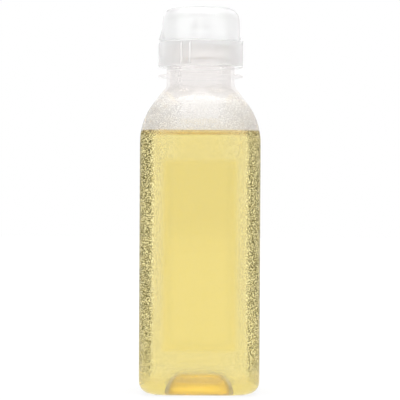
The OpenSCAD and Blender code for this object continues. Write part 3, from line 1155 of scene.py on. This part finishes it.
# %% [markdown]
# ## The oil
#
# The oil fills the bottle up to the foot of the shoulder, so it takes its outline from the same
# functions. In the construction model it keeps clear of the wall. Here that gap would be a film of
# air and mirror like one, so the oil reaches into the wall, and no ray crosses air between oil and
# plastic. At the wall the surface climbs a little, as oil does on clean plastic, and the climb dies
# away inwards as an exponential does.

# %% The oil
OVERLAP = 0.4
CREEP = 2.0
OIL_EDGE_CUT = 0.06
CORNER_SHRINK = 0.45
SURFACE_STEPS = (0, OIL_EDGE_CUT, 0.4, 0.55, 0.75, 1.0, 1.3, 1.7, 2.2, 2.8, 3.6, 5, 8, 13, 20)


def oil_stations():
    found = base_stations(BODY_WALL - OVERLAP, BASE_WALL - OVERLAP, 1.5, 8)
    for z in BODY_ROWS + [123, BODY_H, 130, OIL_Z + CLIMB - OIL_EDGE_CUT]:
        found.append(side_station(z, inset=side_wall(z) - OVERLAP))
    wall_inside = side_wall(OIL_Z)
    edge = side_reach(OIL_Z) - wall_inside + OVERLAP
    for inward in SURFACE_STEPS:
        rise = CLIMB * math.exp(-max(0, inward - OVERLAP) / CREEP)
        corner = max(0.2, side_corner(OIL_Z) - wall_inside - inward * CORNER_SHRINK)
        found.append(station(edge - inward, OIL_Z + rise, corner))
    found.append(station(0, OIL_Z, 0))
    return found


oil = swept("oil_fill", oil_stations(), OIL, eighth_columns=16, flat_columns=12)

# %% [markdown]
# ## The cap
#
# The cap is one moulding: a skirt with a thread inside, a deck, a low collar that the lid closes
# over, and a spout with a turned-out lip in the middle. Tubes, a disc and a cone could be joined
# with booleans, but then each edge would need its own rounding. So the cap's outline is one closed
# line, too. The thread is a ridge that points inward, so its mark has a minus sign, and it stands
# half a pitch off the neck's thread. Two thin upright ribs on the skirt help the fingers.

# %% The outline of the cap
COLLAR_R = 18.75
COLLAR_H = 1.6
COLLAR_T = 0.8
SPOUT_BORE_R = 3.0
MOUTH_R = 3.87
MOUTH_DEPTH = 1.5
LIP_R = 4.97
LIP_OVER = 0.5
SPOUT_FLARE = 0.8
SPOUT_R = LIP_R - LIP_OVER


def cap_outline():
    """Round the inside of the skirt, up its outside, over the deck and the spout, down the bore."""
    return rounded([
        (SPOUT_BORE_R, DECK_LOW, 0, 1.5),
        (CAP_BORE_R, DECK_LOW, 0.3, 1.5),
        (CAP_BORE_R, SKIRT_Z, 0.3, 0.4),
        (CAP_R, SKIRT_Z, 0.6, 1.5),
        (CAP_R, DECK_Z, 0.5, 1.2),
        (COLLAR_R, DECK_Z, 0.15, 1.5),
        (COLLAR_R, DECK_Z + COLLAR_H, 0.3, 1.5),
        (COLLAR_R - COLLAR_T, DECK_Z + COLLAR_H, 0.3, 1.5),
        (COLLAR_R - COLLAR_T, DECK_Z, 0.2, 1.5),
        (SPOUT_R + SPOUT_FLARE, DECK_Z, 0.8, 1.5),
        (SPOUT_R, SPOUT_Z - 2 * LIP_OVER, 0.2, 1.5),
        (LIP_R, SPOUT_Z - LIP_OVER, 0.15, 1.5),
        (LIP_R, SPOUT_Z, 0.2, 1.5),
        (MOUTH_R, SPOUT_Z, 0.2, 1.5),
        (SPOUT_BORE_R, SPOUT_Z - MOUTH_DEPTH, 0.2, 1.5),
        (SPOUT_BORE_R, DECK_LOW, 0, 1.5),
    ])


print(f"The spout has a bore of {2 * SPOUT_BORE_R:.0f} mm and a lip of {2 * LIP_R:.2f} mm")

# %% The cap
CAP_THREAD_TURNS = 1.0
CAP_THREAD_START = 100
THREAD_END_GAP = 0.3
RIB_END_GAP = 0.8
LAND_LIFT = 0.15


def cap_stations():
    found = []
    for r, z in cap_outline():
        marks = {}
        if abs(r - CAP_BORE_R) < 0.02 and SKIRT_Z + THREAD_END_GAP < z < DECK_LOW - THREAD_END_GAP:
            marks["thread"] = -1.0
        if r > CAP_R - 0.3 and z > DECK_LOW:
            marks["wedge"] = min(CAP_R, CAP_R - (z - DECK_Z + LAND_LIFT))
        if abs(r - CAP_R) < 0.01 and SKIRT_Z + RIB_END_GAP < z < DECK_Z - RIB_END_GAP:
            marks["rib"] = 1.0
        found.append(station(r, z, **marks))
    return found


cap = swept(
    "spout_cap",
    cap_stations(),
    CAP_PLASTIC,
    eighth_columns=40,
    thread_low=(THREAD_LOW + THREAD_PITCH * (CAP_THREAD_START / 360 - 0.5)) * MM,
    thread_turns=CAP_THREAD_TURNS,
    thread_start=math.radians(CAP_THREAD_START),
)

# %% [markdown]
# ## The lid
#
# The lid is a shell with a round edge. A thumb tab stands out on one side. It could be a block that
# is joined to the shell, but the joint would show in clear plastic. It is part of a second, smaller
# round whose centre is moved, and the tree takes whichever of the two reaches farther. On the other
# side a flat wedge comes down to the hinge. A short hollow plug under the roof closes the spout.

# %% The thumb tab
TAB_LOW = LID_LOW + 0.5
TAB_H = 7.2
TAB_R = 13.88
TAB_LEAN = 1.8
TAB_ROUNDING = 0.35
TAB_CENTRE = 7.82


def tab_radius(z):
    """The radius of the tab's round at a height, or 0 where there is no tab."""
    if not TAB_LOW - 0.01 <= z <= TAB_LOW + TAB_H:
        return 0
    lean = TAB_LEAN * (z - TAB_LOW) / TAB_H
    short = max(0, TAB_ROUNDING - (z - TAB_LOW))
    edge = math.sqrt(max(0, TAB_ROUNDING**2 - short**2))
    return TAB_R - lean - TAB_ROUNDING + edge


print(f"The tab reaches {TAB_CENTRE + tab_radius(TAB_LOW + TAB_ROUNDING):.1f} mm from the axis")

# %% The lid
LID_R = CAP_R - 1.5
LID_WALL = 1.2
LID_DRAFT = 0.4
LID_TOP_INSET = 0.6
PLUG_R = LIP_R - 0.2
PLUG_TIP_R = 3.06
PLUG_WALL = 1.0
PLUG_REACH = 1.1
PLUG_LIFT = 0.3
WEDGE_H = 2.6
WEDGE_LEAN = 1.467


def lid_outline():
    """Under the roof and round the plug, down the inside of the wall and up its outside."""
    roof = LID_TOP - LID_WALL
    return rounded([
        (0, roof, 0, 1.5),
        (PLUG_TIP_R - PLUG_WALL, roof, 0.3, 1.5),
        (PLUG_TIP_R - PLUG_WALL, SPOUT_Z - PLUG_REACH, 0.2, 1.5),
        (PLUG_TIP_R, SPOUT_Z - PLUG_REACH, 0.2, 1.5),
        (MOUTH_R, SPOUT_Z + PLUG_LIFT, 0.15, 1.5),
        (PLUG_R, SPOUT_Z + PLUG_LIFT, 0.2, 1.5),
        (PLUG_R, roof, 0.6, 1.5),
        (LID_R - LID_WALL - LID_DRAFT, roof, 4.8, 1.5),
        (LID_R - LID_WALL, LID_LOW, 0.3, 1.5),
        (LID_R, LID_LOW, 0.35, 1.0),
        (LID_R - LID_TOP_INSET, LID_TOP, 6, 0.6),
        (0, LID_TOP, 0, 1.5),
    ])


def lid_stations():
    found = []
    for r, z in lid_outline():
        marks = {}
        if r > LID_R - 0.75 and z < LID_TOP - 6:
            marks["tab"] = tab_radius(z)
            on_wedge = z < LID_LOW + WEDGE_H
            marks["wedge"] = CAP_R - 0.1 - (z - LID_LOW) / WEDGE_LEAN if on_wedge else 0
        found.append(station(r, z, **marks))
    return found


lid = swept(
    "flip_lid_shell",
    lid_stations(),
    CAP_PLASTIC,
    eighth_columns=40,
    tab_centre=TAB_CENTRE * MM,
)

# %% [markdown]
# ## The film of the hinge
#
# Lid and cap are one moulding on the real bottle, joined by a strip of the same plastic that is
# thin enough to bend for years. The solids leave it out, because a solid can't bend. Here it is a
# plain strip in rows.

# %% The hinge film
FILM_T = 0.35
FILM_LOW = DECK_Z - 0.25
FILM_HIGH = LID_LOW + 0.25
FILM_ROWS = 13
FILM_COLUMNS = 8


def film_points():
    """A thin upright loop across the hinge, repeated in rows from the cap's land to the wedge."""
    steps = [HINGE_WIDTH * (k / FILM_COLUMNS - 0.5) for k in range(FILM_COLUMNS + 1)]
    loop = [(CAP_R - FILM_T, y) for y in steps] + [(CAP_R, -y) for y in steps]
    heights = [FILM_LOW + (FILM_HIGH - FILM_LOW) * k / (FILM_ROWS - 1) for k in range(FILM_ROWS)]
    return [(x * MM, y * MM, z * MM) for z in heights for x, y in loop]


def film_faces(count, loop):
    """The two ends, and the sides between one loop and the next."""
    faces = [tuple(range(loop)), tuple(range(count - 1, count - loop - 1, -1))]
    for start in range(0, count - loop, loop):
        for k in range(loop):
            here = start + k
            after = start + (k + 1) % loop
            faces.append((here, here + loop, after + loop, after))
    return faces


film_mesh = bpy.data.meshes.new("hinge_film")
points = film_points()
film_mesh.from_pydata(points, [], film_faces(len(points), 2 * (FILM_COLUMNS + 1)))
film_mesh.materials.append(CAP_PLASTIC)
film = bpy.data.objects.new("hinge_film", film_mesh)
bpy.context.scene.collection.objects.link(film)
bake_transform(film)
print(f"The film is {FILM_HIGH - FILM_LOW:.2f} mm high, {FILM_T} mm thick, in {FILM_ROWS} rows")

# %% [markdown]
# ## Each piece on its body
#
# Each finished piece now rides on the body that it moves with, and takes the place of the solid
# that it was drawn around. The seal ring needs no finer form, so its own solid stays and only gets
# the foam.

# %% Ride and replace
for piece, body, node, slot in (
    (bottle, "bottle", "bottle", "bottle_clear"),
    (oil, "bottle", "oil", "oil"),
    (cap, "cap", "cap_base", "cap_clear"),
    (lid, "lid", "flip_lid", "cap_clear"),
):
    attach(piece, body)
    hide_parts(node)
    print(piece.name, "rides on", body, "in place of", node)

# %% The seal keeps its solid
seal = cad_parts["seal_ring"]
for place in seal.material_slots:
    place.material = FOAM
print("The seal's solid is", FOAM.name)

# %% [markdown]
# ## The studio
#
# The photo was taken in a white room, straight from the front, with the camera at half of the
# bottle's height and turned by a fraction of a degree. So the camera stands a metre away, and its
# lens makes the picture as wide as the photo is at the bottle.

# %% The camera
EYE_Z = 98.5
DISTANCE = 1.0
VIEW_WIDTH = 206.4
SENSOR = 36.0
ROLL = -0.29

camera_data = bpy.data.cameras.new("studio_camera")
camera_data.sensor_width = SENSOR
camera_data.lens = SENSOR * DISTANCE / (VIEW_WIDTH * MM)
camera_data.clip_start = 0.05
camera_data.clip_end = 20
camera = bpy.data.objects.new("studio_camera", camera_data)
camera.location = (0.0, -DISTANCE, EYE_Z * MM)
camera.rotation_euler = (math.radians(90), math.radians(ROLL), 0)
bpy.context.scene.collection.objects.link(camera)
bpy.context.scene.camera = camera
print(f"The lens is {camera_data.lens:.0f} mm long, {DISTANCE} m from the bottle")

# %% [markdown]
# ### A floor that is white to the eye
#
# The floor is white paper. A brighter light would wash the paper out, but also the bottle. So Light
# Path tells the paper which ray asks. The camera gets pure white, and so do the rays that plastic
# and oil mirror or let through, so the background shows in them too. For the light that it gives
# back, the paper carries painted shade near the bottle, which fades to white with the distance.
# A share of it is still lit as paper is, and that keeps the bottle's shadow.

# %% The floor
FLOOR_HALF = 4.0
FLOOR_SHADE_NEAR = (0.88, 0.88, 0.88, 1)
TONE_FROM = 0.3
TONE_OVER = 3.5
GLOW = 0.85


def white_background(tree, plain):
    """White for the camera and for rays through or off plastic, and plain for the light it gives."""
    ray = tree.add("ShaderNodeLightPath", None, None, "Is Camera Ray")
    shown = (ray + ray.output("Is Glossy Ray") + ray.output("Is Transmission Ray")).least(1.0)
    return between_shades(tree, shown, plain, WHITE)


def floor_paper():
    made, tree = material("white_paper")
    place = tree.add("ShaderNodeTexCoord", None, None, "Object")
    away = tree.add("ShaderNodeVectorMath", {"operation": "LENGTH"}, {0: place}, "Value")
    # Painted shade: for the light it gives back, the paper is darker near the bottle and fades to white
    # with the distance.
    shade_near = between_shades(tree, away.rises(TONE_FROM, TONE_OVER), FLOOR_SHADE_NEAR, WHITE)
    colour = white_background(tree, shade_near)
    paper = tree.add("ShaderNodeBsdfDiffuse", None, {"Color": colour})
    glow = tree.add("ShaderNodeEmission", None, {"Color": colour})
    return finished(made, tree, between_surfaces(tree, GLOW, paper, glow))


CORNERS = ((-1, -1), (1, -1), (1, 1), (-1, 1))
floor_mesh = bpy.data.meshes.new("studio_floor")
floor_mesh.from_pydata([(x * FLOOR_HALF, y * FLOOR_HALF, 0) for x, y in CORNERS], [], [(0, 1, 2, 3)])
floor_mesh.materials.append(floor_paper())
floor = bpy.data.objects.new("studio_floor", floor_mesh)
bpy.context.scene.collection.objects.link(floor)
print(f"The floor is {2 * FLOOR_HALF:.0f} m square")

# %% [markdown]
# ### A white sky with one soft light
#
# The sky is white all round, at a strength of 1, so that a colour renders about as it is written
# and the plastic stands before white from every side. Lamps could light the bottle as well, but
# clear plastic would show each one as a spot. Only a wide soft light straight overhead is brighter
# than the sky. It falls down through the oil, and it fills the golden field in the base.

# %% The sky
SOFT_LIGHT = (2.2, 2.2, 2.2, 1)
LIGHT_FROM = 0.7
LIGHT_OVER = 0.15

world = bpy.data.worlds.new("studio")
bpy.context.scene.world = world
world.use_nodes = True
world.node_tree.nodes.clear()
sky = Tree(world.node_tree)
direction = sky.add("ShaderNodeTexCoord", None, None, "Generated")
upward = sky.add("ShaderNodeSeparateXYZ", None, {"Vector": direction}, "Z")
light = between_shades(sky, upward.rises(LIGHT_FROM, LIGHT_OVER), WHITE, SOFT_LIGHT)
background = sky.add("ShaderNodeBackground", None, {"Color": light})
sky.add("ShaderNodeOutputWorld", None, {"Surface": background})
print(f"The soft light starts {math.degrees(math.acos(LIGHT_FROM)):.0f} degrees from the zenith")

# %% [markdown]
# ### How far a ray may go
#
# A ray that enters the bottle crosses the outer wall, the oil and the wall again, and the cap has
# even more surfaces behind each other. If a path ends too early, its pixel turns black. So the
# limits on bounces are higher than usual. The view transform is Standard, which shows a colour as
# it is written.

# %% Bounces and view
scene = bpy.context.scene
scene.view_settings.view_transform = "Standard"
scene.cycles.max_bounces = 48
scene.cycles.transmission_bounces = 32
scene.cycles.glossy_bounces = 32
scene.cycles.diffuse_bounces = 8
scene.cycles.transparent_max_bounces = 16
print("A ray may bounce", scene.cycles.max_bounces, "times")
